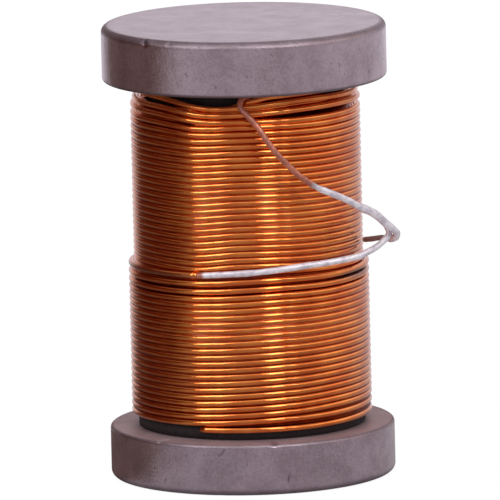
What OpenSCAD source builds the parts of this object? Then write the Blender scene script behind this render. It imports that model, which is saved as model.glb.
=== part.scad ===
// Rod-core inductor: a round core rod between two flat discs, wound with enamelled copper wire.
// Millimetres, +Z up the rod. The origin is the centre of the bottom disc's underside.

/* [Core] */
// Diameter of both discs
disc_d = 25; // [22:0.5:40]
// Thickness of the top disc
top_disc_t = 4.85; // [3:0.05:8]
// Thickness of the bottom disc
bottom_disc_t = 4.55; // [3:0.05:8]
// Radius that rounds the edges of the discs
disc_edge_r = 0.4; // [0.1:0.05:1]
// Diameter of the rod
rod_d = 15; // [8:0.5:16]
// Length of the rod, from disc to disc
rod_len = 30.6; // [22:0.2:60]
// Chamfer at both ends of the rod
rod_chamfer = 0.2; // [0.1:0.05:0.5]

/* [Winding] */
// Diameter of the wire over its enamel
wire_d = 0.55; // [0.4:0.05:0.7]
// Gap between neighbouring turns
turn_gap = 0.02; // [0.01:0.01:0.1]
// Gap between the rod and the first layer
rod_gap = 0.15; // [0.05:0.05:0.5]
// Gap between the lowest turn and the bottom disc
end_gap = 0.02; // [0.01:0.01:0.2]
// Layers that fill the whole length of the rod
full_layers = 5; // [2:1:6]
// Turns of the short outer layer, counted up from the bottom disc
short_turns = 25; // [8:1:29]
// Room between the top turn and the top disc, where the start lead comes out
lead_room = 0.7; // [0.7:0.05:1.5]
// Direction in which the short layer ends and the finish lead begins
finish_angle = -116; // [-140:1:-100]

/* [Leads] */
// Diameter of the wire where it is tinned
tinned_d = 0.6; // [0.5:0.05:0.8]
// Height of the hook above the end of the short layer
hook_rise = 2.85; // [2:0.05:4]
// How far the hook stands out from the short layer
hook_reach = 4; // [3:0.05:5]

/* [Hidden] */
$fn = 96;

core_colour = [0.52, 0.46, 0.49];
enamel_colour = [0.72, 0.38, 0.16];
tin_colour = [0.80, 0.78, 0.80];

wire_facets = 24;
lead_facets = 10;
lead_steps = 3; // rings for each span of a lead's route
inner_seat = 0.01; // keeps the outer turns clear of the sleeve that stands for the layers below
end_seat = 0.04; // how far the end of the upper turns sinks into the top of the short layer's sleeve

top_disc_z = bottom_disc_t + rod_len;
pitch = wire_d + turn_gap;
layer_step = wire_d * sin(60); // a turn lies in the groove between two turns of the layer below
low_turn_z = bottom_disc_t + end_gap + wire_d / 2;
short_end_z = low_turn_z + short_turns * pitch;
top_turn_z = top_disc_z - lead_room - wire_d / 2;
lead_room_z = top_disc_z - lead_room / 2;
upper_turns = ceil((top_turn_z - short_end_z) / pitch) + 1;
upper_start_angle = 60;
upper_end_z = top_turn_z - upper_turns * pitch;
hook_z = short_end_z + hook_rise;
full_r = layer_r(full_layers);
short_r = layer_r(full_layers + 1);

// Start lead, hidden under the top disc: angle, and how far out from first layer (0) to last (1)
start_inner_route = [[-58, 0.05], [-68, 0.12], [-78, 0.32], [-85, 0.6], [-89.5, 0.88]];
// Start lead, down the front: angle, share of the hook's reach, height from hook (0) to disc (1)
start_front_route = [
    [-92, -0.037, 0.985], [-92.2, 0.05, 0.94], [-88.5, 0.163, 0.88], [-84.5, 0.275, 0.81],
    [-81, 0.35, 0.72], [-77, 0.388, 0.63], [-72.5, 0.4, 0.55], [-67.5, 0.4, 0.47], [-62, 0.412, 0.405],
    [-58.5, 0.45, 0.37], [-53.5, 0.525, 0.33], [-47.3, 0.583, 0.28], [-41.3, 0.64, 0.222],
    [-36.8, 0.715, 0.182]
];
// Start lead, round the hook and back: angle, then out and up from the hook as shares of its reach
start_hook_route = [
    [-33.3, 0.8, 0.45], [-29.6, 0.885, 0.25], [-26.9, 0.963, 0.11], [-24.8, 1, 0], [-23.3, 0.94, -0.1],
    [-22.3, 0.815, -0.155], [-21.4, 0.68, -0.165], [-20, 0.52, -0.17], [-17, 0.275, -0.23],
    [-12, 0.03, -0.29]
];
// Finish lead, off the short layer's end: angle, share of the reach, height from there (0) to hook (1)
finish_front_route = [
    [-107.5, 0.01, 0.04], [-99.5, 0.01, 0.07], [-87, 0.035, 0.12], [-75, 0.095, 0.19],
    [-63, 0.205, 0.27], [-52, 0.38, 0.335], [-41.5, 0.59, 0.43], [-37, 0.68, 0.535]
];
// Finish lead, through the hook and back behind the start lead: angle, then out and up as shares
finish_hook_route = [
    [-32.2, 0.735, -0.255], [-28.2, 0.795, -0.14], [-26, 0.825, -0.06], [-25, 0.82, 0.03],
    [-25.2, 0.765, 0.155], [-27, 0.69, 0.3], [-29.7, 0.625, 0.415], [-33.2, 0.55, 0.52],
    [-36.5, 0.495, 0.59]
];
// Spans at the beginning of the start lead that keep their enamel
enamelled_spans = 13;

// Centre radius of the wire in a layer, counted out from the rod
function layer_r(n) = rod_d / 2 + rod_gap + wire_d / 2 + (n - 1) * layer_step;
// Radius at a share of the hook's reach, out from the short layer
function reach_r(share) = short_r + share * hook_reach;
function around(angle, r, z) = [r * cos(angle), r * sin(angle), z];
function between(low, high, share) = low + (high - low) * share;
function unit(v) = v / norm(v);
// The part of v that is square to the direction t
function square_to(t, v) = unit(v - t * (v * t));

// Smooth curve through every point of a route
function span_point(p, i, u) =
    let (a = p[max(i - 1, 0)], b = p[i], c = p[i + 1], d = p[min(i + 2, len(p) - 1)])
    b + 0.5 * u * ((c - a) + u * ((2 * a - 5 * b + 4 * c - d) + u * (3 * b - a - 3 * c + d)));
function smooth(p) = concat(
    [for (i = [0:len(p) - 2], k = [0:lead_steps - 1]) span_point(p, i, k / lead_steps)],
    [p[len(p) - 1]]
);
function heading(p, i) = unit(p[min(i + 1, len(p) - 1)] - p[max(i - 1, 0)]);
// One direction across the wire at each ring, carried along so that the tube doesn't twist
function sides_of(p) = [
    for (i = 0, side = square_to(heading(p, 0), [0, 0, 1]);
         i < len(p);
         i = i + 1, side = i < len(p) ? square_to(heading(p, i), side) : side)
        side
];

start_route = concat(
    [for (q = start_inner_route) around(q[0], between(layer_r(1), full_r, q[1]), lead_room_z)],
    [for (q = start_front_route) around(q[0], reach_r(q[1]), between(hook_z, lead_room_z, q[2]))],
    [for (q = start_hook_route) around(q[0], reach_r(q[1]), hook_z + q[2] * hook_reach)]
);
finish_route = concat(
    [around(finish_angle + 0.1, short_r, short_end_z)],
    [for (q = finish_front_route) around(q[0], reach_r(q[1]), between(short_end_z, hook_z, q[2]))],
    [for (q = finish_hook_route) around(q[0], reach_r(q[1]), hook_z + q[2] * hook_reach)]
);

// Tube of round wire along a route, enamelled for its first spans and tinned after them
module formed_wire(route, enamelled) {
    path = smooth(route);
    across = sides_of(path);
    rings = [
        for (i = [0:len(path) - 1])
            let (r = (i <= enamelled * lead_steps ? wire_d : tinned_d) / 2)
            let (up = cross(heading(path, i), across[i]))
            for (k = [0:lead_facets - 1])
                let (a = 360 * k / lead_facets)
                path[i] + r * (cos(a) * across[i] + sin(a) * up)
    ];
    last = len(path) - 1;
    walls = [
        for (i = [0:last - 1], k = [0:lead_facets - 1])
            let (n = (k + 1) % lead_facets, a = i * lead_facets, b = a + lead_facets)
            each [[a + k, b + k, b + n], [a + k, b + n, a + n]]
    ];
    near_cap = [for (k = [0:lead_facets - 1]) k];
    far_cap = [for (k = [lead_facets - 1:-1:0]) last * lead_facets + k];
    polyhedron(points = rings, faces = concat([near_cap], walls, [far_cap]));
}

// Half of a turn of round wire: a half ring, tilted so that it climbs half a pitch and runs on smoothly
module half_turn(r, half, hand) {
    tilt = hand * asin(pitch / (4 * r));
    translate([0, 0, hand * pitch * (half == 0 ? 1 / 4 : 3 / 4)])
        rotate([0, half == 0 ? tilt : -tilt, 0])
            rotate_extrude(angle = 180, start = 180 * half)
                translate([r, 0]) circle(d = wire_d, $fn = wire_facets);
}

// Helix of whole turns from a height and a direction: it climbs with hand = 1 and falls with hand = -1
module turns(r, start_z, start_angle, count, hand) {
    rotate([0, 0, start_angle])
        for (i = [0:count - 1], half = [0, 1])
            translate([0, 0, start_z + hand * i * pitch]) half_turn(r, half, hand);
}

// The layers under the outer turns, as one sleeve
module inner_layers(outer_r, from_z, to_z) {
    wall = outer_r - wire_d / 2 - inner_seat - rod_d / 2 - rod_gap;
    rotate_extrude()
        translate([rod_d / 2 + rod_gap, from_z]) square([wall, to_z - from_z]);
}

module disc(thickness) {
    rotate_extrude() {
        square([disc_d / 2 - disc_edge_r, thickness]);
        translate([0, disc_edge_r]) square([disc_d / 2, thickness - 2 * disc_edge_r]);
        for (z = [disc_edge_r, thickness - disc_edge_r])
            translate([disc_d / 2 - disc_edge_r, z]) circle(r = disc_edge_r);
    }
}

module core_rod() {
    color(core_colour)
        translate([0, 0, bottom_disc_t])
            rotate_extrude()
                polygon([
                    [0, 0], [rod_d / 2 - rod_chamfer, 0], [rod_d / 2, rod_chamfer],
                    [rod_d / 2, rod_len - rod_chamfer], [rod_d / 2 - rod_chamfer, rod_len], [0, rod_len]
                ]);
}

module top_disc() {
    color(core_colour) translate([0, 0, top_disc_z]) disc(top_disc_t);
}

module bottom_disc() {
    color(core_colour) disc(bottom_disc_t);
}

module winding() {
    low_z = low_turn_z - wire_d / 2;
    color(enamel_colour) {
        turns(short_r, low_turn_z, finish_angle, short_turns, 1);
        turns(full_r, top_turn_z, upper_start_angle, upper_turns, -1);
        inner_layers(short_r, low_z, upper_end_z - wire_d / 2 + end_seat);
        inner_layers(full_r, low_z, top_turn_z + wire_d / 2);
    }
}

module start_lead() {
    color(tin_colour) formed_wire(start_route, enamelled_spans);
}

module finish_lead() {
    color(tin_colour) formed_wire(finish_route, 0);
}

core_rod();
top_disc();
bottom_disc();
winding();
start_lead();
finish_lead();
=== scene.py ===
"""Looks of a rod-core inductor: enamelled wire wound between two discs, its two leads hooked together."""
import math

import bmesh
import bpy
from mathutils import Matrix, Vector, kdtree, noise


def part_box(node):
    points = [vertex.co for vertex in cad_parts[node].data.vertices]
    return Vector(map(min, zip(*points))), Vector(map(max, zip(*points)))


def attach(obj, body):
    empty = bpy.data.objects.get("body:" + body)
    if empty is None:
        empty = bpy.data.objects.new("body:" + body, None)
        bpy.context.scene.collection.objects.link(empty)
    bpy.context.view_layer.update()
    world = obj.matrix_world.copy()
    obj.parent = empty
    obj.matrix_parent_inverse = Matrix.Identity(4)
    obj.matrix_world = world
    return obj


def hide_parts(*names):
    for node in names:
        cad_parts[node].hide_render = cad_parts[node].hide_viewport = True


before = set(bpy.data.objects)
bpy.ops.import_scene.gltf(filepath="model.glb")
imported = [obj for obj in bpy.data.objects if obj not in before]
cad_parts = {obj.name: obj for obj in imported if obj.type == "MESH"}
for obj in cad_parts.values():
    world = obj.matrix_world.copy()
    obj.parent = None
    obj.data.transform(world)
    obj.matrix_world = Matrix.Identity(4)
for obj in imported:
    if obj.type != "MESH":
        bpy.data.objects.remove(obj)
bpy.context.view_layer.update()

MM = 0.001

# ---- sizes, in millimetres and degrees ----
WIRE_D = 0.55
TINNED_D = 0.6
PITCH = 0.57
LAYER_STEP = WIRE_D * math.sin(math.radians(60))
ROD_R = 7.5
ROD_GAP = 0.15
LEAD_ROOM = 0.7
END_GAP = 0.02
SHORT_TURNS = 25
FINISH_ANGLE = -116
HOOK_RISE = 2.85
HOOK_REACH = 4.0

DISC_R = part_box("top_disc")[1].x / MM
TOP_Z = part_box("top_disc")[1].z / MM
TOP_DISC_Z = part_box("top_disc")[0].z / MM
BOTTOM_DISC_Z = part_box("bottom_disc")[1].z / MM


def layer_r(number):
    """Centre radius of the wire in a layer, counted out from the rod."""
    return ROD_R + ROD_GAP + WIRE_D / 2 + (number - 1) * LAYER_STEP


UNDER_R, FULL_R, SHORT_R = layer_r(4), layer_r(5), layer_r(6)
LOW_TURN_Z = BOTTOM_DISC_Z + END_GAP + WIRE_D / 2
SHORT_END_Z = LOW_TURN_Z + SHORT_TURNS * PITCH
LEAD_ROOM_Z = TOP_DISC_Z - LEAD_ROOM / 2
HOOK_Z = SHORT_END_Z + HOOK_RISE


# ---- camera: its distance in metres, its angles in radians, its aim in millimetres ----
CAMERA_DISTANCE = 1.3
CAMERA_ELEVATION = math.radians(9.356)
CAMERA_ROLL = math.radians(1.367)
CAMERA_LENS = 1065.4
SENSOR_WIDTH = 36
NEAREST_SEEN, FARTHEST_SEEN = 0.05, 20
AIM_HEIGHT = 20.0
AIM_RIGHT = 0.137
AIM_DOWN = 0.258


def make_camera():
    """A long lens in front of the object and a little above it, turned so that the object leans a little."""
    cos_e, sin_e = math.cos(CAMERA_ELEVATION), math.sin(CAMERA_ELEVATION)
    cos_r, sin_r = math.cos(CAMERA_ROLL), math.sin(CAMERA_ROLL)
    level_up = Vector((0, sin_e, cos_e))
    right = Vector((1, 0, 0)) * cos_r - level_up * sin_r
    up = Vector((1, 0, 0)) * sin_r + level_up * cos_r
    middle = Vector((0, 0, AIM_HEIGHT * MM))
    place = middle + Vector((0, -cos_e, sin_e)) * CAMERA_DISTANCE
    aim = middle + right * AIM_RIGHT * MM - up * AIM_DOWN * MM
    back = (place - aim).normalized()
    right = up.cross(back).normalized()
    up = back.cross(right)
    camera = bpy.data.objects.new("camera", bpy.data.cameras.new("camera"))
    camera.data.sensor_width = SENSOR_WIDTH
    camera.data.lens = CAMERA_LENS
    camera.data.clip_start, camera.data.clip_end = NEAREST_SEEN, FARTHEST_SEEN
    camera.matrix_world = Matrix.Translation(place) @ Matrix((right, up, back)).transposed().to_4x4()
    bpy.context.scene.collection.objects.link(camera)
    bpy.context.scene.camera = camera


make_camera()


# ---- shader sums ----
class Value:
    """A number on a surface, as a socket. Python's operators add the Math nodes."""

    def __init__(self, paint, socket):
        self.paint, self.socket = paint, socket

    def maths(self, operation, *others):
        """A Math node with this value first."""
        return self.paint.node("ShaderNodeMath", {"operation": operation}, [self, *others])

    def __add__(self, other):
        return self.maths("ADD", other)

    def __sub__(self, other):
        return self.maths("SUBTRACT", other)

    def __rsub__(self, other):
        return self.paint.node("ShaderNodeMath", {"operation": "SUBTRACT"}, [other, self])

    def __mul__(self, other):
        return self.maths("MULTIPLY", other)

    __radd__, __rmul__ = __add__, __mul__

    def clamped(self):
        """The value kept from 0 to 1."""
        return self.paint.node("ShaderNodeClamp", {}, [self])

    def between(self, low, high):
        """0 below low and 1 above high, with a smooth rise. low may be the larger one."""
        sockets = {"Value": self, "From Min": low, "From Max": high}
        return self.paint.node("ShaderNodeMapRange", {"interpolation_type": "SMOOTHSTEP"}, sockets)


def set_stops(elements, stops):
    """Gives a new ramp, which has an element at 0 and one at 1, its stops."""
    for place, _ in stops[1:-1]:
        elements.new(place)
    for element, (_, colour) in zip(elements, stops):
        element.color = (*colour, 1)


class Paint:
    """One procedural material or world: its node tree and its surface shader."""

    def __init__(self, tree):
        self.tree = tree
        tree.nodes.clear()

    def node(self, kind, settings, sockets, out=0):
        """Adds a node, makes its settings, then sets or links its sockets. Returns the output as a Value.

        The setting "stops" is a ramp's places and colours, of which the first is at 0 and the last at 1.
        """
        made = self.tree.nodes.new(kind)
        for name, setting in settings.items():
            if name == "stops":
                set_stops(made.color_ramp.elements, setting)
            else:
                setattr(made, name, setting)
        for key, given in sockets.items() if isinstance(sockets, dict) else enumerate(sockets):
            if isinstance(given, Value):
                self.tree.links.new(given.socket, made.inputs[key])
            else:
                made.inputs[key].default_value = given
        return Value(self, made.outputs[out]) if made.outputs else None

    def object_point(self, scale=(1, 1, 1)):
        """Object coordinates in millimetres, stretched by scale."""
        point = self.node("ShaderNodeTexCoord", {}, {}, "Object")
        return self.node("ShaderNodeMapping", {}, {"Vector": point, "Scale": [s / MM for s in scale]})

    def axis(self, vector, name):
        """The X, Y or Z of a vector."""
        return self.node("ShaderNodeSeparateXYZ", {}, [vector], name)

    def noise(self, vector, size, detail=3.0, roughness=0.55):
        """Cloudy noise around 0.5, with patches about size millimetres across."""
        sockets = {"Vector": vector, "Scale": 1 / size, "Detail": detail, "Roughness": roughness}
        return self.node("ShaderNodeTexNoise", {}, sockets, "Fac")

    def colour_mix(self, share, low, high):
        """The colour low where share is 0 and high where it is 1."""
        # on colours, the Mix node takes its share at socket 0 and the colours at 6 and 7, and gives out 2
        return self.node("ShaderNodeMix", {"data_type": "RGBA"}, {0: share, 6: low, 7: high}, 2)

    def mark(self, name):
        """A number that a piece's mesh keeps at each of its points."""
        return self.node("ShaderNodeAttribute", {"attribute_name": name}, {}, "Fac")

    def bump(self, height, distance):
        """A bump whose height runs from 0 to 1 over a distance in millimetres."""
        sockets = {"Height": height, "Distance": distance * MM, "Strength": 1.0}
        return self.node("ShaderNodeBump", {}, sockets)


def linear(red, green, blue):
    """A screen colour, 0 to 255, as the linear colour that a shader takes."""
    def one(value):
        value /= 255
        return value / 12.92 if value <= 0.04045 else ((value + 0.055) / 1.055) ** 2.4

    return one(red), one(green), one(blue), 1.0


def material(name, sockets_of):
    """A material with one Principled shader. sockets_of(paint) gives what goes to its sockets."""
    made = bpy.data.materials.new(name)
    made.use_nodes = True
    paint = Paint(made.node_tree)
    shader = paint.node("ShaderNodeBsdfPrincipled", {}, sockets_of(paint))
    paint.node("ShaderNodeOutputMaterial", {}, [shader])
    return made


# ---- materials ----
AMBER = linear(240, 142, 58)
DEEP_AMBER = linear(222, 112, 38)
VARNISH = linear(158, 58, 12)
DARK_VARNISH = linear(124, 40, 8)
TIN = linear(228, 222, 230)
DULL_TIN = linear(196, 186, 198)
SCORCHED = linear(198, 116, 92)
SCORCHED_DARK = linear(164, 96, 80)
# brown for painted shade under the finish lead and on the start lead's tail, for the dull patch on the short
# layer, and for flux
SHADE_AND_FLUX_BROWN = linear(112, 84, 84)
IRON = linear(212, 194, 204)
IRON_DARK = linear(178, 158, 168)
IRON_FRESH = linear(225, 216, 222)
# black for pits and stains, and for the painted shade on the discs' rounded edges
PIT_AND_SHADE_BLACK = linear(46, 36, 40)
SHADE_AND_REFLECTION_BROWN = linear(132, 96, 90)
ROD_AND_SHADE_BLACK = linear(30, 24, 24)


def enamel_sockets(paint):
    """Copper under clear amber enamel: a coloured metal with a glossy coat."""
    point = paint.object_point()
    cloud = paint.noise(point, 2.5, 2.0)
    fine = paint.noise(point, 0.25, 3.0)
    # browner and rougher: painted shade under the finish lead, and a duller patch on the left
    dull = paint.mark("dull")
    clear = paint.colour_mix(cloud.between(0.3, 0.7), DEEP_AMBER, AMBER)
    return {
        "Base Color": paint.colour_mix(dull, clear, SHADE_AND_FLUX_BROWN),
        "Metallic": 1.0,
        "Roughness": 0.3 * dull + 0.08 + 0.08 * fine,
        "Coat Weight": 0.5 + 0.3 * cloud,
        "Coat Roughness": 0.05,
        "Coat IOR": 1.55,
        "Normal": paint.bump(paint.noise(point, 0.6, 2.0), 0.012),
    }


def varnish_sockets(paint):
    """Dipping varnish that fills the grooves between the turns, with the copper's colour under it."""
    point = paint.object_point()
    cloud = paint.noise(point, 0.8, 3.0)
    return {
        "Base Color": paint.colour_mix(cloud.between(0.3, 0.7), DARK_VARNISH, VARNISH),
        "Metallic": 1.0,
        "Roughness": 0.3 + 0.2 * cloud,
        "Coat Weight": 0.3,
        "Coat Roughness": 0.12,
    }


def tinned_sockets(paint):
    """Solder over copper wire. The enamel is still on it where tinned is 0. It is brown with flux where the
    start lead's tin begins, and brown with painted shade on the start lead's tail behind the hook.
    """
    point = paint.object_point()
    # brown: flux where the tin begins, and painted shade on the start lead's tail
    flux = paint.mark("flux")
    blotch = paint.noise(point, 0.7, 3.0)
    tinned = (paint.mark("tinned") + 0.5 * blotch - 0.25).between(0.3, 0.7)
    grey = paint.colour_mix(blotch.between(0.35, 0.65), DULL_TIN, TIN)
    orange = paint.colour_mix(blotch.between(0.4, 0.6), SCORCHED, SCORCHED_DARK)
    return {
        "Base Color": paint.colour_mix(flux, paint.colour_mix(tinned, orange, grey), SHADE_AND_FLUX_BROWN),
        "Metallic": 0.55 - 0.2 * tinned,
        "Roughness": 0.3 + 0.16 * blotch,
        "Coat Weight": 0.6 * (1 - tinned),
        "Coat Roughness": 0.08,
        "Normal": paint.bump(paint.noise(point, 0.35, 3.0), 0.05),
    }


def iron_sockets(paint):
    """Pressed iron powder, tumbled smooth: a mauve grey metal with fine grain, pits and fresh chips. Its
    rounded edges are darkened with painted shade, and its faces towards the winding are matt and browner with
    painted shade and reflection of the coil.
    """
    point = paint.object_point()
    cloud = paint.noise(point, 2.6, 3.0, 0.6)
    grain = paint.noise(point, 0.22, 2.0, 0.6)
    pits = paint.noise(paint.object_point((1, 1, 0.6)), 0.4, 2.0, 0.5).between(0.33, 0.24)
    fresh, stain = paint.mark("fresh"), paint.mark("stain")
    edge, matt = paint.mark("edge"), paint.mark("matt")
    colour = paint.colour_mix((0.6 * cloud + 0.4 * grain).between(0.3, 0.7), IRON_DARK, IRON)
    colour = paint.colour_mix(0.38 * pits, colour, PIT_AND_SHADE_BLACK)
    colour = paint.colour_mix(fresh, colour, IRON_FRESH)
    colour = paint.colour_mix(stain, colour, PIT_AND_SHADE_BLACK)
    # painted shade and coil reflection: the faces towards the winding are browner; their matt finish is their
    # own
    colour = paint.colour_mix(0.55 * matt, colour, SHADE_AND_REFLECTION_BROWN)
    return {
        # painted shade: the rounded edges are darkened to hold down their highlight
        "Base Color": paint.colour_mix(0.6 * edge, colour, PIT_AND_SHADE_BLACK),
        "Metallic": 1 - 0.5 * matt,
        "Roughness": 0.16 + 0.1 * grain + 0.2 * fresh + 0.35 * edge + 0.3 * matt,
        "Normal": paint.bump(grain - 0.7 * pits, 0.02),
    }


def rod_sockets(paint):
    """The rod between the discs, left black and rough from the press. The same black stands as painted shade
    in the sleeves at both ends of the hidden layers.
    """
    point = paint.object_point()
    grain = paint.noise(point, 0.3, 3.0)
    return {
        "Base Color": paint.colour_mix(grain.between(0.3, 0.7), ROD_AND_SHADE_BLACK, PIT_AND_SHADE_BLACK),
        "Metallic": 0.0,
        "Roughness": 0.75 + 0.15 * grain,
        "Normal": paint.bump(grain, 0.04),
    }


enamelled_copper = material("enamelled_copper", enamel_sockets)
groove_varnish = material("groove_varnish", varnish_sockets)
tinned_copper = material("tinned_copper", tinned_sockets)
pressed_iron = material("pressed_iron", iron_sockets)
rod_iron_and_shade = material("rod_iron_and_shade", rod_sockets)


# ---- pieces ----
def add_piece(name, mesh, surface, node):
    """A finished mesh as a piece that rides on the body and stands for a CAD node."""
    piece = bpy.data.objects.new(name, mesh)
    bpy.context.scene.collection.objects.link(piece)
    mesh.materials.clear()
    mesh.materials.append(surface)
    mesh.shade_smooth()
    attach(piece, "root")
    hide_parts(node)
    return piece


# points nearer to each other than this, in metres, are one
MERGE_WITHIN = 1e-7


def mesh_of(bm, name):
    """A mesh with the shape of a bmesh, which is freed."""
    mesh = bpy.data.meshes.new(name)
    bm.to_mesh(mesh)
    bm.free()
    return mesh


def keep_order(elements, place_of):
    """Puts a bmesh's points, edges or faces in an order that is the same on every run."""
    for i, element in enumerate(sorted(elements, key=place_of)):
        element.index = i
    elements.sort()


def turned(profile, is_ring, steps):
    """A closed bmesh, turned round the rod from a profile of radii and heights in millimetres.

    A profile that is a ring has its last point joined to its first. Any other begins and ends at radius 0.
    """
    bm = bmesh.new()
    verts = [bm.verts.new((r * MM, 0, z * MM)) for r, z in profile]
    pairs = list(zip(verts, verts[1:])) + ([(verts[-1], verts[0])] if is_ring else [])
    edges = [bm.edges.new(pair) for pair in pairs]
    bmesh.ops.spin(bm, geom=verts + edges, cent=(0, 0, 0), axis=(0, 0, 1), dvec=(0, 0, 0),
                   angle=2 * math.pi, steps=steps, use_merge=True)
    bmesh.ops.remove_doubles(bm, verts=bm.verts, dist=MERGE_WITHIN)
    bmesh.ops.recalc_face_normals(bm, faces=bm.faces)
    keep_order(bm.verts, lambda vert: tuple(vert.co))
    for elements in (bm.edges, bm.faces):
        keep_order(elements, lambda element: sorted(vert.index for vert in element.verts))
    return bm


def between(low, high, share):
    """low where share is 0, and high where it is 1."""
    return low + (high - low) * share


def degrees_from(middle, angle):
    """How far round a direction lies from another one, from -180 to 180."""
    return (angle - middle + 180) % 360 - 180


def around(angle, radius, height):
    """A point given by its direction in degrees, its radius and its height, in millimetres."""
    angle = math.radians(angle)
    return Vector((radius * math.cos(angle), radius * math.sin(angle), height))


def wire_mesh(name, points, diameter, radius_of=None):
    """A round wire along points in millimetres, as a closed mesh in metres."""
    curve = bpy.data.curves.new(name, "CURVE")
    curve.dimensions = "3D"
    curve.bevel_depth = diameter / 2 * MM
    curve.bevel_resolution = (WIRE_SIDES - 4) // 2
    curve.use_fill_caps = True
    spline = curve.splines.new("POLY")
    spline.points.add(len(points) - 1)
    for i, point in enumerate(points):
        spline.points[i].co = (*(point * MM), 1)
        spline.points[i].radius = radius_of(i) if radius_of else 1.0
    holder = bpy.data.objects.new(name, curve)
    bpy.context.scene.collection.objects.link(holder)
    bpy.context.view_layer.update()
    mesh = bpy.data.meshes.new_from_object(holder.evaluated_get(bpy.context.evaluated_depsgraph_get()))
    bpy.data.objects.remove(holder)
    bpy.data.curves.remove(curve)
    mesh.name = name
    closed = bmesh.new()
    closed.from_mesh(mesh)
    bmesh.ops.remove_doubles(closed, verts=closed.verts, dist=MERGE_WITHIN)
    bmesh.ops.recalc_face_normals(closed, faces=closed.faces)
    closed.to_mesh(mesh)
    closed.free()
    return mesh


STEPS_PER_TURN = 120
WIRE_SIDES = 12

# Heights of the laps of the two outer layers, by direction. Directions count on from lap to lap, so that
# LAP_FROM, on the front left, is also 605, 965 and so on.
LAP_FROM = 245
# the last turns of the layer below, and the first laps of the outer full layer
UNDER_KEYS = [
    (-1200, 32.2), (-850, 32.5), (-805, 33.05), (-781, 33.4), (-730, 33.35), (-610, 33.2), (-490, 33.05),
    (-445, 33.6), (-421, 33.95), (-370, 33.9), (-250, 33.75), (-130, 33.55), (-99, 33.6), (-92, 34.0),
]
TOP_KEYS = [
    (-85, 34.7), (-60, 34.86), (0, 34.86), (60, 34.8), (120, 34.7), (180, 34.6), (224, 34.38),
    (249, 33.66), (262, 33.78), (284, 34.1), (300, 34.3), (320, 34.2), (360, 34.0), (420, 33.85),
    (540, 33.72), (584, 33.68), (607, 33.1), (622, 33.2), (644, 33.4), (660, 33.5), (680, 33.5),
    (720, 33.35), (780, 33.2), (900, 33.08), (944, 33.02), (967, 32.52), (982, 32.62), (1020, 32.58),
    (1040, 32.56), (1080, 32.5), (1140, 32.44), (1260, 32.32), (1304, 32.28),
]
# how far the first laps lie inside their layer
INWARD_KEYS = [
    (-60, 0.1), (0, 0.5), (180, 0.5), (228, 0.3), (262, 0.05), (320, 0.05), (360, 0.18), (540, 0.18),
    (600, 0),
]
# where the wire climbs from the layer below, and over how many degrees
CLIMB_FROM, CLIMB_OVER = -94, 12
# the regular laps of the outer full layer: the first one's number and height, and the last one's number
TOP_LAPS = 4
TOP_LAP_Z, TOP_LAP_STEP = 31.89, 0.564
LAST_LAP = 28
# a regular lap: degrees on from its start, and how far up at the first of them and at the last
UPPER_LAP = [(0, 0, 0), (14, 0.21, 0.4), (38, 0.27, 0.42), (68, 0.14, 0.25)]
# its end, which stays up by the first number, less the second for each lap down, and by the third at least
UPPER_LAP_END = 341
END_RISE, END_RISE_STEP, LEAST_END_RISE = 0.34, 0.08, 0.12
# the short outer layer: heights at the start of its lowest laps, its regular ones and its last ones
LOW_LAP_STARTS = [5.45, 6.02]
LOW_LAP_STEP, LOW_REGULAR_LAPS = 0.5784, 19
LOW_LAST_STARTS = [17.66, 18.38, SHORT_END_Z]
# degrees on to a lap's front and right, and how far up it is there: in the lowest laps, and in the others
LOW_FRONT, LOW_RIGHT = 39, 69
LOWEST_RISES = [(0.04, 0.08), (0.31, 0.36)]
LOW_FRONT_RISE, LOW_RIGHT_FIRST_RISE, LOW_RIGHT_LAST_RISE = 0.31, 0.52, 0.2
# degrees over which the corners between these heights are rounded, and the samples on each side
EASE_REACH, EASE_STEPS = 9, 4
# small unevenness of the wire: up and down in each layer, in and out, and the degrees from bump to bump
UPPER_UNEVEN_Z, LOWER_UNEVEN_Z, UNEVEN_R = 0.015, 0.012, 0.01
UNEVEN_SPAN = 37
OUTER_INSET = 0.012  # keeps the uneven short layer inside its CAD size
# darker, duller places on the short layer, the first painted shade under the finish lead and the second a
# wider dull patch on the left: direction and height, half the width in degrees, half the height, how much
SHADE_AND_DULL_PLACES = [(-24, 18.3, 26, 0.42, 0.85), (-152, 19.0, 52, 0.3, 0.6)]


def along(keys, place):
    """A value that runs straight from key to key."""
    if place <= keys[0][0]:
        return keys[0][1]
    for (a, low), (b, high) in zip(keys, keys[1:]):
        if place <= b:
            return low + (high - low) * (place - a) / (b - a)
    return keys[-1][1]


def eased(keys, place):
    """The same with its corners rounded: the mean over EASE_REACH degrees on both sides."""
    steps = range(-EASE_STEPS, EASE_STEPS + 1)
    return sum(along(keys, place + EASE_REACH * k / EASE_STEPS) for k in steps) / len(steps)


def wander(angle, seed):
    """A small smooth unevenness along the wire, from -1 to 1."""
    return noise.noise(Vector((angle / UNEVEN_SPAN, seed, 0)))


def upper_keys():
    """Heights of every lap of the outer full layer."""
    keys = list(TOP_KEYS)
    for lap in range(TOP_LAPS, LAST_LAP):
        low = lap - TOP_LAPS
        start = TOP_LAP_Z - low * TOP_LAP_STEP
        share = low / (LAST_LAP - TOP_LAPS)
        first = LAP_FROM + 360 * (lap - 1)
        keys += [(first + on, start + between(rise, last_rise, share)) for on, rise, last_rise in UPPER_LAP]
        end_rise = max(LEAST_END_RISE, END_RISE - END_RISE_STEP * low)
        keys.append((first + UPPER_LAP_END, start - TOP_LAP_STEP + end_rise))
    return keys


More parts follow.
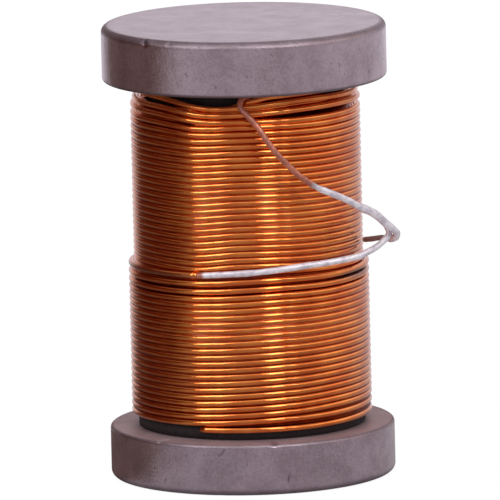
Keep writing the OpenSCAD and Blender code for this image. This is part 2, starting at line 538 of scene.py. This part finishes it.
def lower_keys():
    """Heights of every lap of the short outer layer."""
    regular = [LOW_LAP_STARTS[-1] + LOW_LAP_STEP * (k + 1) for k in range(LOW_REGULAR_LAPS)]
    starts = LOW_LAP_STARTS + regular + LOW_LAST_STARTS
    keys = []
    for lap, start in enumerate(starts[:-1]):
        first = LAP_FROM + 360 * lap
        if lap < len(LOWEST_RISES):
            front, right = LOWEST_RISES[lap]
        else:
            share = (lap - 1) / (len(starts) - 2)
            front, right = LOW_FRONT_RISE, between(LOW_RIGHT_FIRST_RISE, LOW_RIGHT_LAST_RISE, share)
        keys += [(first, start), (first + LOW_FRONT, start + front), (first + LOW_RIGHT, start + right)]
    return keys + [(LAP_FROM + 360 * (len(starts) - 1), starts[-1])]


def make_upper_turns():
    """Last turns of the layer below, over to the outer full layer and down it, behind the short layer."""
    points = []
    keys = UNDER_KEYS + upper_keys()
    first, last = UNDER_KEYS[0][0], LAP_FROM + 360 * (LAST_LAP - 1)
    for step in range(round((last - first) / 360 * STEPS_PER_TURN)):
        angle = first + 360 * step / STEPS_PER_TURN
        over = min(max((angle - CLIMB_FROM) / CLIMB_OVER, 0), 1)
        radius = UNDER_R + (FULL_R - UNDER_R) * over - (eased(INWARD_KEYS, angle) if over == 1 else 0)
        height = eased(keys, angle) + UPPER_UNEVEN_Z * wander(angle, 1)
        points.append(around(angle, radius + UNEVEN_R * wander(angle, 2), height))
    mesh = wire_mesh("upper_turns", points, WIRE_D)
    return add_piece("upper_turns", mesh, enamelled_copper, "winding")


def shade_and_dullness(angle, height):
    """How much painted shade and dullness the enamel has at a place on the short layer, from 0 to 1."""
    most = 0
    for middle, middle_z, half_width, half_height, amount in SHADE_AND_DULL_PLACES:
        away = math.hypot(degrees_from(middle, angle) / half_width, (height - middle_z) / half_height)
        most = max(most, amount * min(2 - 2 * away, 1))
    return most


def make_outer_turns():
    """The short outer layer, up from the bottom disc."""
    points = []
    keys = lower_keys()
    first, last = FINISH_ANGLE + 360, keys[-1][0]
    for step in range(round((last - first) / 360 * STEPS_PER_TURN)):
        angle = first + 360 * step / STEPS_PER_TURN
        height = max(eased(keys, angle), LOW_TURN_Z) + LOWER_UNEVEN_Z * wander(angle, 3)
        points.append(around(angle, SHORT_R - OUTER_INSET + UNEVEN_R * wander(angle, 4), height))
    points.append(around(FINISH_ANGLE, SHORT_R, SHORT_END_Z))
    mesh = wire_mesh("outer_turns", points, WIRE_D)
    # painted shade under the finish lead and a duller patch on the left, kept at each point
    dull = mesh.attributes.new("dull", "FLOAT", "POINT")
    for vertex in mesh.vertices:
        x, y, z = vertex.co / MM
        dull.data[vertex.index].value = shade_and_dullness(math.degrees(math.atan2(y, x)), z)
    return add_piece("outer_turns", mesh, enamelled_copper, "winding")


SLEEVE_STEPS = 180


def make_sleeve(name, inner, outer, low, high, surface):
    """A plain tube round the rod."""
    section = [(inner, low), (outer, low), (outer, high), (inner, high)]
    mesh = mesh_of(turned(section, True, SLEEVE_STEPS), name)
    return add_piece(name, mesh, surface, "winding")


GROOVE_DEPTH = 0.14  # from the top of a turn down to the varnish beside it
# how high the hidden layers, the black sleeve of painted shade over them and the varnish reach
INNER_TOP_Z = 33.0
SHADE_SLEEVE_R, SHADE_SLEEVE_TOP_Z = 8.6, 34.9
LOW_VARNISH_Z, UPPER_VARNISH_TOP_Z, LOWER_VARNISH_TOP_Z = 5.85, 31.7, 17.2


def make_sleeves():
    """The hidden layers, black sleeves of painted shade that close them off at both ends, and the varnish in
    the outer ones' grooves.
    """
    under, low = UNDER_R - WIRE_D / 2, LOW_TURN_Z - WIRE_D / 2
    make_sleeve("inner_layers", ROD_R + ROD_GAP, under, low, INNER_TOP_Z, groove_varnish)
    # painted shade: a black sleeve in the gap under the top disc
    make_sleeve("lead_room_shade", ROD_R + ROD_GAP, SHADE_SLEEVE_R, INNER_TOP_Z, SHADE_SLEEVE_TOP_Z, rod_iron_and_shade)
    full_crest, short_crest = (r + WIRE_D / 2 - GROOVE_DEPTH for r in (FULL_R, SHORT_R))
    # painted shade: a black sleeve in the gap above the bottom disc, where the wires below lie in shadow
    make_sleeve("foot_shade", under, full_crest, low, LOW_VARNISH_Z, rod_iron_and_shade)
    make_sleeve("upper_varnish", under, full_crest, LOW_VARNISH_Z, UPPER_VARNISH_TOP_Z, groove_varnish)
    make_sleeve("lower_varnish", full_crest, short_crest, LOW_VARNISH_Z, LOWER_VARNISH_TOP_Z, groove_varnish)


def smooth_route(route, steps):
    """A smooth curve through every point of a route."""
    made = []
    for i in range(len(route) - 1):
        a, b, c, d = route[max(i - 1, 0)], route[i], route[i + 1], route[min(i + 2, len(route) - 1)]
        for k in range(steps):
            u = k / steps
            bend = (2 * a - 5 * b + 4 * c - d) + u * (3 * b - a - 3 * c + d)
            made.append(b + 0.5 * u * ((c - a) + u * bend))
    return made + [route[-1]]


# start lead under the top disc: direction, and how far out from the first layer (0) to the last (1)
START_INNER_ROUTE = [(-58, 0.05), (-68, 0.12), (-78, 0.32), (-85, 0.6), (-89.5, 0.88)]
# start lead down the front: direction, share of the hook's reach, height from the hook (0) to the disc (1)
START_FRONT_ROUTE = [
    (-92, -0.037, 0.985), (-92.2, 0.05, 0.94), (-88.5, 0.163, 0.88), (-84.5, 0.275, 0.81),
    (-81, 0.35, 0.72), (-77, 0.388, 0.63), (-72.5, 0.4, 0.55), (-67.5, 0.4, 0.47), (-62, 0.412, 0.405),
    (-58.5, 0.45, 0.37), (-53.5, 0.525, 0.33), (-47.3, 0.583, 0.28), (-41.3, 0.64, 0.222),
    (-36.8, 0.715, 0.182),
]
# start lead round the hook and back: direction, then out and up from the hook as shares of its reach
START_HOOK_ROUTE = [
    (-33.3, 0.8, 0.45), (-29.6, 0.885, 0.25), (-26.9, 0.963, 0.11), (-24.8, 1, 0), (-23.3, 0.94, -0.1),
    (-22.3, 0.815, -0.155), (-21.4, 0.68, -0.165), (-20, 0.52, -0.17), (-17, 0.275, -0.23),
    (-12, 0.03, -0.29),
]
# finish lead off the short layer: direction, share of the reach, height from there (0) to the hook (1)
FINISH_FRONT_ROUTE = [
    (-107.5, 0.01, 0.04), (-99.5, 0.01, 0.07), (-87, 0.035, 0.12), (-75, 0.095, 0.19), (-63, 0.205, 0.27),
    (-52, 0.38, 0.335), (-41.5, 0.59, 0.43), (-37, 0.68, 0.535),
]
# finish lead through the hook and back: direction, then out and up as shares
FINISH_HOOK_ROUTE = [
    (-32.2, 0.735, -0.255), (-28.2, 0.795, -0.14), (-26, 0.825, -0.06), (-25, 0.82, 0.03),
    (-25.2, 0.765, 0.155), (-27, 0.69, 0.3), (-29.7, 0.625, 0.415), (-33.2, 0.55, 0.52),
    (-36.5, 0.495, 0.59),
]
ROUTE_STEPS = 12
# the span of each lead at which the tin begins, and how many spans it takes to cover the copper
START_TINNED_FROM, FINISH_TINNED_FROM = 13, 0.5
TIN_EDGE = 0.8
# lumps in the tin: about how many to a millimetre, and how high, as a share of the wire's thickness
LUMPS = [(0.9, 0.06), (2.3, 0.04)]
WIRE_SLACK = 0.03  # keeps the lumps inside the CAD wire's size


def reach_r(share):
    """Radius at a share of the hook's reach, out from the short layer."""
    return SHORT_R + share * HOOK_REACH


def hook_points(route):
    """Points of either lead in the hook."""
    return [around(angle, reach_r(out), HOOK_Z + up * HOOK_REACH) for angle, out, up in route]


def front_points(route, low, high):
    """Points of either lead down the front or across it, between two heights."""
    return [around(angle, reach_r(out), between(low, high, up)) for angle, out, up in route]


def start_route():
    """Points of the start lead, from under the top disc to its tip."""
    inner = [around(a, between(layer_r(1), FULL_R, out), LEAD_ROOM_Z) for a, out in START_INNER_ROUTE]
    return inner + front_points(START_FRONT_ROUTE, HOOK_Z, LEAD_ROOM_Z) + hook_points(START_HOOK_ROUTE)


def finish_route():
    """Points of the finish lead, from the end of the short layer to its tip."""
    first = [around(FINISH_ANGLE + 0.1, SHORT_R, SHORT_END_Z)]
    return first + front_points(FINISH_FRONT_ROUTE, SHORT_END_Z, HOOK_Z) + hook_points(FINISH_HOOK_ROUTE)


# span of the lead, and the wire's thickness there as a share of the tinned wire's
START_SWELL = [
    (0, 0.92), (13, 0.92), (13.6, 0.8), (14.3, 1.0), (16.8, 1.0), (17.6, 1.24), (20.2, 1.24), (21, 1.1),
    (21.5, 1.05), (22.4, 1.05), (23.2, 1.28), (24.3, 1.22), (25.2, 0.86), (28, 0.84),
]
FINISH_SWELL = [(0, 0.92), (1, 0.95), (5, 1.0), (12, 1.0), (14, 0.86), (20, 0.86)]
# span of the lead, and how brown it is there: flux where the tin begins, and painted shade and coil
# reflection on the tail behind the hook
START_FLUX_AND_SHADE = [(12.4, 0), (13.1, 0.5), (13.8, 0.15), (14.2, 0), (24.2, 0), (25, 0.85), (27.7, 0.8), (28, 0.1)]
FINISH_FLUX = [(0, 0)]


def make_lead(name, node, route, tinned_from, swell, flux_and_shade_keys):
    """One end of the wire, uneven where it is tinned."""
    path = smooth_route(route, ROUTE_STEPS)

    def tinned_at(i):
        """How much tin there is at a step of the path, from 0 to 1."""
        return min(max((i / ROUTE_STEPS - tinned_from) / TIN_EDGE + 0.5, 0), 1)

    def swelling(i):
        """The wire's thickness there, as a share of the tinned wire's."""
        lump = sum(noise.noise(path[i] * pace) * rise for pace, rise in LUMPS)
        return along(swell, i / ROUTE_STEPS) + lump * tinned_at(i) - WIRE_SLACK

    mesh = wire_mesh(name, path, TINNED_D, swelling)
    tree = kdtree.KDTree(len(path))
    for i, point in enumerate(path):
        tree.insert(point * MM, i)
    tree.balance()
    tinned = mesh.attributes.new("tinned", "FLOAT", "POINT")
    # brown marks: flux, and painted shade on the start lead's tail
    flux = mesh.attributes.new("flux", "FLOAT", "POINT")
    for vertex in mesh.vertices:
        i = tree.find(vertex.co)[1]
        tinned.data[vertex.index].value = tinned_at(i)
        flux.data[vertex.index].value = along(flux_and_shade_keys, i / ROUTE_STEPS)
    return add_piece(name, mesh, tinned_copper, node)


# ---- discs ----
# radii that round the edge of the outer face and of the face towards the winding
OUTER_EDGE_R = 0.62
INNER_EDGE_R = 0.3
DISC_STEPS = 540
# radii of the rings of a flat face, steps round an edge of 90 degrees, and steps up the wall
FACE_RINGS = [0, 3, 6, 9, 11, 11.6]
EDGE_STEPS = 10
WALL_STEPS = 26
MARKED_RIM = 1  # how far in from the rim the chips may reach
ON_FACE = 0.05  # how near to a flat face a point counts as on it
CHIP_SPAN = 8  # degrees on either side of a chip past which it leaves no mark
CHIP_STEEPNESS = 1.6
# raggedness of the chips: about how many waves to a millimetre, and how much
CHIP_RAGS = [(2.1, 0.35), (6, 0.2)]
RIM_WAVE, RIM_WAVE_DEPTH = 1.7, 0.012  # the same for the whole rim, in millimetres
# direction, height from the disc's underside, half width, half height, depth, fresh metal (1) or stain (-1)
TOP_CHIPS = [
    (-134, 4.55, 0.5, 0.35, 0.09, -0.7), (-122, 4.62, 0.3, 0.16, 0.07, 0.9),
    (-105.3, 4.6, 0.2, 0.14, 0.06, 0.9), (-74.7, 4.62, 0.16, 0.14, 0.06, 0.8),
    (-71.1, 4.6, 0.16, 0.14, 0.06, 0.8), (-90.2, 4.7, 0.5, 0.2, 0.06, -0.2),
    (-120.5, 2.6, 0.05, 2.1, 0.02, 0.25), (-54, 4.7, 0.3, 0.14, 0.05, 0.3), (38, 4.6, 0.5, 0.3, 0.15, -0.3),
    (96, 4.6, 0.7, 0.3, 0.18, 0.4), (170, 4.6, 0.4, 0.3, 0.12, 0.5), (140, 0.15, 0.5, 0.2, 0.1, 0.4),
    (-62, 0.1, 0.4, 0.12, 0.05, 0.3),
]
BOTTOM_CHIPS = [
    (-131, 4.5, 0.42, 0.2, 0.14, 0.85), (-81.3, 4.5, 0.4, 0.26, 0.06, -0.5),
    (-76, 1.4, 0.07, 0.5, 0.05, -0.7), (-75.2, 1.7, 0.06, 0.4, 0.05, -0.6),
    (-74.4, 1.3, 0.06, 0.3, 0.04, -0.6), (-78, 0.7, 0.2, 0.1, 0.04, -0.4),
    (-104, 0.1, 0.5, 0.15, 0.08, 0.3), (50, 4.45, 0.5, 0.25, 0.12, 0.5), (110, 4.4, 0.6, 0.3, 0.15, -0.3),
    (165, 0.1, 0.5, 0.25, 0.12, 0.4),
]


def disc_profile(low, high, outer_is_top):
    """Half of a disc's section, from the middle of its underside to the middle of its top."""
    low_r, high_r = (INNER_EDGE_R, OUTER_EDGE_R) if outer_is_top else (OUTER_EDGE_R, INNER_EDGE_R)
    turns = [math.radians(90 / EDGE_STEPS * i) for i in range(EDGE_STEPS + 1)]
    rows = [(r, low) for r in FACE_RINGS]
    rows += [(DISC_R - low_r + low_r * math.sin(a), low + low_r - low_r * math.cos(a)) for a in turns]
    rows += [(DISC_R, between(low + low_r, high - high_r, i / WALL_STEPS)) for i in range(1, WALL_STEPS)]
    rows += [(DISC_R - high_r + high_r * math.cos(a), high - high_r + high_r * math.sin(a)) for a in turns]
    return rows + [(r, high) for r in reversed(FACE_RINGS)]


def make_disc(name, node, low, high, outer_is_top, chips):
    """A pressed disc with rounded edges, chipped here and there."""
    bm = turned(disc_profile(low, high, outer_is_top), False, DISC_STEPS)
    bm.normal_update()
    fresh = bm.verts.layers.float.new("fresh")
    stain = bm.verts.layers.float.new("stain")
    edge = bm.verts.layers.float.new("edge")
    matt = bm.verts.layers.float.new("matt")
    inner_z = low if outer_is_top else high
    for vertex in bm.verts:
        point = vertex.co / MM
        radius = math.hypot(point.x, point.y)
        # the faces towards the winding: matt, and browner with painted shade and coil reflection
        vertex[matt] = 1.0 if abs(point.z - inner_z) < ON_FACE else 0.0
        if radius < DISC_R - MARKED_RIM:
            continue
        angle = math.degrees(math.atan2(point.y, point.x))
        sideways = math.hypot(vertex.normal.x, vertex.normal.y)
        # painted shade on the rounded edges, strongest where the surface turns from face to wall
        vertex[edge] = min(2 * abs(vertex.normal.z) * sideways, 1)
        ragged = 1 + sum(amount * noise.noise(point * pace) for pace, amount in CHIP_RAGS)
        push = 0
        for where, height, half_width, half_height, depth, finish in chips:
            turn = degrees_from(where, angle)
            if abs(turn) > CHIP_SPAN:
                continue
            across = math.radians(turn) * DISC_R / half_width
            away = math.hypot(across, (point.z - low - height) / half_height)
            share = min(max(CHIP_STEEPNESS * (ragged - away), 0), 1)
            push += depth * share
            if finish > 0:
                vertex[fresh] = max(vertex[fresh], finish * share)
            else:
                vertex[stain] = max(vertex[stain], -finish * share)
        push += RIM_WAVE_DEPTH * max(noise.noise(point * RIM_WAVE), 0)
        vertex.co.x -= push * point.x / radius * MM
        vertex.co.y -= push * point.y / radius * MM
    return add_piece(name, mesh_of(bm, name), pressed_iron, node)


make_upper_turns()
make_outer_turns()
make_sleeves()
make_lead("start_lead_wire", "start_lead", start_route(), START_TINNED_FROM, START_SWELL, START_FLUX_AND_SHADE)
make_lead("finish_lead_wire", "finish_lead", finish_route(), FINISH_TINNED_FROM, FINISH_SWELL, FINISH_FLUX)
make_disc("top_disc_iron", "top_disc", TOP_DISC_Z, TOP_Z, True, TOP_CHIPS)
make_disc("bottom_disc_iron", "bottom_disc", 0, BOTTOM_DISC_Z, False, BOTTOM_CHIPS)
core_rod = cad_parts["core_rod"]
core_rod.data.materials.clear()
core_rod.data.materials.append(rod_iron_and_shade)


# ---- studio, in metres ----
BOX_DISTANCE = 1.2
# high enough to stay out of the top disc's face when it is seen from behind
SIDE_ELEVATION, SIDE_HEIGHT = 42, 0.92


def softbox(name, azimuth, elevation, width, height, strength):
    """A rectangular lamp that faces the object. Azimuth 0 is in front, and 90 to the right."""
    a, e = math.radians(azimuth), math.radians(elevation)
    middle = Vector((0, 0, AIM_HEIGHT * MM))
    away = Vector((math.sin(a) * math.cos(e), -math.cos(a) * math.cos(e), math.sin(e)))
    lamp = bpy.data.objects.new(name, bpy.data.lights.new(name, "AREA"))
    lamp.data.shape = "RECTANGLE"
    lamp.data.size, lamp.data.size_y = width, height
    lamp.data.energy = strength * width * height
    lamp.location = middle + away * BOX_DISTANCE
    lamp.rotation_mode = "QUATERNION"
    lamp.rotation_quaternion = away.to_track_quat("Z", "Y")
    lamp.visible_camera = False
    bpy.context.scene.collection.objects.link(lamp)


softbox("left_box", -53, SIDE_ELEVATION, 0.27, SIDE_HEIGHT, 12.5)
softbox("left_narrow_box", -36, SIDE_ELEVATION, 0.16, SIDE_HEIGHT, 8)
softbox("right_box", 24.5, SIDE_ELEVATION, 0.3, SIDE_HEIGHT, 12.5)
softbox("right_narrow_box", 44, SIDE_ELEVATION, 0.12, SIDE_HEIGHT, 8)
softbox("top_box", 0, 78, 0.8, 0.8, 3)


# share of a turn: 0.25 in front, 0.5 to the right, 0.75 behind. The studio's colour at the object's height
STUDIO_LOW = [
    (0.0, (0.10, 0.032, 0.018)), (0.04, (0.10, 0.04, 0.025)), (0.07, (0.26, 0.22, 0.21)),
    (0.10, (0.44, 0.40, 0.42)), (0.17, (0.40, 0.37, 0.39)), (0.25, (0.42, 0.38, 0.40)),
    (0.33, (0.42, 0.38, 0.40)), (0.39, (0.38, 0.35, 0.37)), (0.45, (0.48, 0.45, 0.47)),
    (0.58, (0.52, 0.49, 0.51)), (0.65, (0.58, 0.55, 0.58)), (0.69, (0.74, 0.70, 0.76)),
    (0.81, (0.74, 0.70, 0.76)), (0.84, (0.45, 0.42, 0.44)), (0.865, (0.10, 0.04, 0.025)),
    (0.93, (0.075, 0.024, 0.014)), (1.0, (0.10, 0.032, 0.018)),
]
# the same high up
STUDIO_HIGH = [
    (0.0, (0.10, 0.02, 0.006)), (0.05, (0.10, 0.03, 0.01)), (0.09, (0.4, 0.36, 0.36)),
    (0.15, (0.55, 0.5, 0.5)), (0.25, (0.62, 0.58, 0.58)), (0.36, (0.62, 0.58, 0.58)),
    (0.40, (1.35, 1.2, 1.1)), (0.5, (1.4, 1.25, 1.15)), (0.6, (1.1, 1.0, 0.96)), (0.68, (0.8, 0.76, 0.8)),
    (0.74, (0.6, 0.56, 0.58)), (0.78, (0.12, 0.04, 0.02)), (0.93, (0.09, 0.016, 0.005)),
    (1.0, (0.10, 0.02, 0.006)),
]
# sine of the elevation, and how much of the high colour there is
STUDIO_UP = [(0.0, 0.0), (0.18, 0.1), (0.4, 1.0), (1.0, 1.0)]
# the colour overhead, and the sines of the elevation over which it comes in
OVERHEAD = (0.46, 0.42, 0.43, 1)
OVERHEAD_FROM, OVERHEAD_TO = 0.5, 0.85
# the world's light on everything that isn't polished
EVEN_LIGHT = (0.55, 0.55, 0.55, 1)


def studio_round(paint, way, stops):
    """The studio's colour in a direction, as polished metal shows it."""
    turn = paint.node("ShaderNodeTexGradient", {"gradient_type": "RADIAL"}, {"Vector": way}, "Fac")
    return paint.node("ShaderNodeValToRGB", {"stops": stops}, [turn])


def light_path(paint, name):
    """1 for the rays of one kind and 0 for the others."""
    return paint.node("ShaderNodeLightPath", {}, {}, name)


def seen_rays(paint):
    """1 for the rays that see the white background straight or through a clear surface."""
    return (light_path(paint, "Is Camera Ray") + light_path(paint, "Is Transmission Ray")).clamped()


WHITE = (1, 1, 1, 1)
BLACK = (0, 0, 0, 1)
FLOOR_SIZE = 6.0
FLOOR_GAP = 0.00002
FLOOR_COLOUR = (0.8, 0.8, 0.8, 1)
# how much of what is seen of the floor is its own glow, and the glow's colour
FLOOR_GLOW = 0.9
FLOOR_WHITE = (1.05, 1.05, 1.05, 1)
# painted shade on the floor near the object, which only polished metal sees: its share of the studio's light
# there, and how far that reaches
FLOOR_NEAR_LEVEL = 0.78
FLOOR_NEAR, FLOOR_FAR = 0.02, 0.22


def make_floor():
    """A plain white floor, which keeps the object's shadow. Polished metal shows the studio's light on it,
    with painted shade near the object.
    """
    bm = bmesh.new()
    bmesh.ops.create_grid(bm, x_segments=1, y_segments=1, size=FLOOR_SIZE)
    bmesh.ops.translate(bm, verts=bm.verts, vec=(0, 0, -FLOOR_GAP))
    mesh = mesh_of(bm, "floor")
    floor = bpy.data.objects.new("floor", mesh)
    bpy.context.scene.collection.objects.link(floor)
    made = bpy.data.materials.new("floor")
    made.use_nodes = True
    paint = Paint(made.node_tree)
    spot = paint.node("ShaderNodeTexCoord", {}, {}, "Object")
    away = paint.node("ShaderNodeVectorMath", {"operation": "LENGTH"}, {0: spot}, "Value")
    # painted shade: the floor that polished metal sees is darker near the object
    level = FLOOR_NEAR_LEVEL + (1 - FLOOR_NEAR_LEVEL) * away.between(FLOOR_NEAR, FLOOR_FAR)
    shown = paint.colour_mix(level, BLACK, studio_round(paint, spot, STUDIO_LOW))
    glossy = light_path(paint, "Is Glossy Ray")
    colour = paint.colour_mix(glossy, FLOOR_WHITE, shown)
    matte = paint.node("ShaderNodeBsdfDiffuse", {}, {"Color": FLOOR_COLOUR})
    glow = paint.node("ShaderNodeEmission", {}, {"Color": colour, "Strength": 1.0})
    share = FLOOR_GLOW * (seen_rays(paint) + glossy).clamped()
    paint.node("ShaderNodeOutputMaterial", {}, [paint.node("ShaderNodeMixShader", {}, [share, matte, glow])])
    mesh.materials.append(made)


def make_world():
    """White to the camera. Polished metal shows the studio round it, and the light itself is even."""
    world = bpy.data.worlds.new("studio")
    bpy.context.scene.world = world
    world.use_nodes = True
    paint = Paint(world.node_tree)
    way = paint.node("ShaderNodeTexCoord", {}, {}, "Generated")
    height = paint.axis(way, "Z")
    grey_stops = [(place, (share, share, share)) for place, share in STUDIO_UP]
    up = paint.node("ShaderNodeValToRGB", {"stops": grey_stops}, [height])
    shown = paint.colour_mix(up, studio_round(paint, way, STUDIO_LOW), studio_round(paint, way, STUDIO_HIGH))
    shown = paint.colour_mix(height.between(OVERHEAD_FROM, OVERHEAD_TO), shown, OVERHEAD)
    colour = paint.colour_mix(light_path(paint, "Is Glossy Ray"), EVEN_LIGHT, shown)
    colour = paint.colour_mix(seen_rays(paint), colour, WHITE)
    sky = paint.node("ShaderNodeBackground", {}, {"Color": colour, "Strength": 1.0})
    paint.node("ShaderNodeOutputWorld", {}, [sky])


make_floor()
make_world()

bpy.context.scene.view_settings.view_transform = "Standard"
